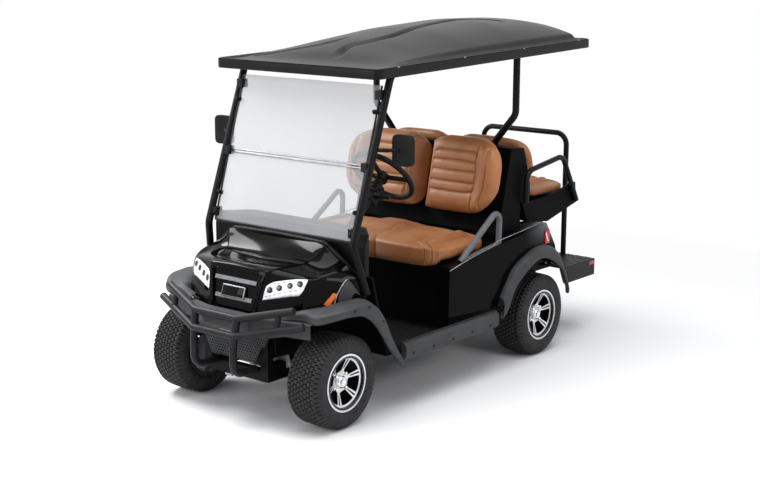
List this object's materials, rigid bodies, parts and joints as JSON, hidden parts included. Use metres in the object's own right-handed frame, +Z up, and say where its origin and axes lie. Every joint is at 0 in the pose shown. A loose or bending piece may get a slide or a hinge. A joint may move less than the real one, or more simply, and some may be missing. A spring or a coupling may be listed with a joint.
{
  "type": "golf cart",
  "caption": "Electric golf cart with a domed canopy, a split windscreen, a brush guard, spoked wheels and a rear-facing back seat over a step.",
  "frame": {"origin": "on the ground under the middle of the overall length and width", "axes": "+X the cart's left, +Y its rear, +Z up"},
  "size_m": [1.32, 2.72, 1.8542],
  "materials": {
    "gloss_black_paint": "gloss paint on a moulded panel",
    "black_plastic": "grained black plastic",
    "grey_plastic": "grained dark grey plastic",
    "black_tube": "satin powder coat",
    "frame_paint": "satin chassis paint",
    "silver_steel": "bare steel",
    "tan_leather": "stitched tan upholstery",
    "tyre_rubber": "black rubber",
    "wheel_alloy": "machined face, black pockets",
    "screen_tint": "grey tinted acrylic",
    "lamp_clear": "clear lamp lens",
    "lamp_red": "red lens",
    "lamp_amber": "amber lens",
    "arm_grey": "silver grey paint",
    "battery_case": "battery block",
    "cast_metal": "cast housing"
  },
  "bodies": {
    "chassis": {"frame": "frame_paint", "tow_eye": "silver_steel", "front_suspension": "silver_steel", "rear_axle": "cast_metal", "drive_motor": "cast_metal", "rear_springs": "silver_steel", "floor": "frame_paint", "sills": "grey_plastic", "seat_pod": "black_plastic", "battery_pack": "battery_case", "rear_body": "gloss_black_paint", "front_flares": "grey_plastic", "rear_flares": "grey_plastic", "front_cowl": "gloss_black_paint", "cowl_bow": "black_tube", "lower_grille": "black_plastic", "brush_guard": "black_tube", "dash": "black_plastic", "pedals": "black_plastic", "windscreen_lower": "screen_tint", "windscreen_upper": "screen_tint", "front_struts": "black_tube", "rear_struts": "black_tube", "canopy": "gloss_black_paint", "mirrors": "black_plastic", "front_seat_back": "tan_leather", "rear_seat_back": "tan_leather", "rear_seat_tub": "black_plastic", "rear_seat_cushion": "tan_leather", "seat_frame": "frame_paint", "hip_arms": "arm_grey", "rear_arms": "black_tube", "grab_hoop": "black_tube", "step_plate": "black_plastic", "tail_lamps": "lamp_red", "steering_column": "black_plastic", "front_fascia": "black_plastic", "front_valance": "grey_plastic", "grille_bars": "grey_plastic", "head_lamps": "lamp_clear", "inner_panels": "black_plastic", "screen_clips": "black_plastic", "seat_back_cover": "black_plastic", "side_markers": "lamp_amber"},
    "knuckle_left": {"knuckle_left": "silver_steel"},
    "knuckle_right": {"knuckle_right": "silver_steel"},
    "wheel_front_left": {"tyre_front_left": "tyre_rubber", "rim_front_left": "wheel_alloy"},
    "wheel_front_right": {"tyre_front_right": "tyre_rubber", "rim_front_right": "wheel_alloy"},
    "wheel_rear_left": {"tyre_rear_left": "tyre_rubber", "rim_rear_left": "wheel_alloy"},
    "wheel_rear_right": {"tyre_rear_right": "tyre_rubber", "rim_rear_right": "wheel_alloy"},
    "tie_rods": {"tie_rods": "silver_steel"},
    "steering_wheel": {"steering_wheel": "black_plastic"},
    "front_seat_base": {"front_seat_cushion": "tan_leather", "front_seat_board": "black_plastic"}
  },
  "joints": [
    {"name": "steer_left", "type": "hinge", "parent": "chassis", "child": "knuckle_left", "pos_m": [0.35, -1.01, 0.23], "axis": [0, 0, 1], "range_deg": [-30, 30]},
    {"name": "front_left_wheel_spin", "type": "hinge", "parent": "knuckle_left", "child": "wheel_front_left", "pos_m": [0.463, -1.01, 0.23], "axis": [1, 0, 0], "continuous": true},
    {"name": "rear_left_wheel_spin", "type": "hinge", "parent": "chassis", "child": "wheel_rear_left", "pos_m": [0.486, 0.654, 0.23], "axis": [1, 0, 0], "continuous": true},
    {"name": "steer_right", "type": "hinge", "parent": "chassis", "child": "knuckle_right", "pos_m": [-0.35, -1.01, 0.23], "axis": [0, 0, 1], "range_deg": [-30, 30]},
    {"name": "front_right_wheel_spin", "type": "hinge", "parent": "knuckle_right", "child": "wheel_front_right", "pos_m": [-0.463, -1.01, 0.23], "axis": [1, 0, 0], "continuous": true},
    {"name": "rear_right_wheel_spin", "type": "hinge", "parent": "chassis", "child": "wheel_rear_right", "pos_m": [-0.486, 0.654, 0.23], "axis": [1, 0, 0], "continuous": true},
    {"name": "steering_wheel_turn", "type": "hinge", "parent": "chassis", "child": "steering_wheel", "pos_m": [0.3, -0.425, 1.125], "axis": [0, 0.7431, 0.6691], "range_deg": [-450, 450]},
    {"name": "rack_slide", "type": "slide", "parent": "chassis", "child": "tie_rods", "axis": [1, 0, 0], "range_m": [-0.0402, 0.0402]},
    {"name": "front_seat_lift", "type": "hinge", "parent": "chassis", "child": "front_seat_base", "pos_m": [0, -0.138, 0.623], "axis": [1, 0, 0], "range_deg": [0, 55]}
  ],
  "couplings": [
    {"joint": "steer_right", "follows": "steer_left", "ratio": 1},
    {"joint": "steering_wheel_turn", "follows": "steer_left", "ratio": 15},
    {"joint": "rack_slide", "follows": "steer_left", "m_per_rad": -0.0764}
  ]
}
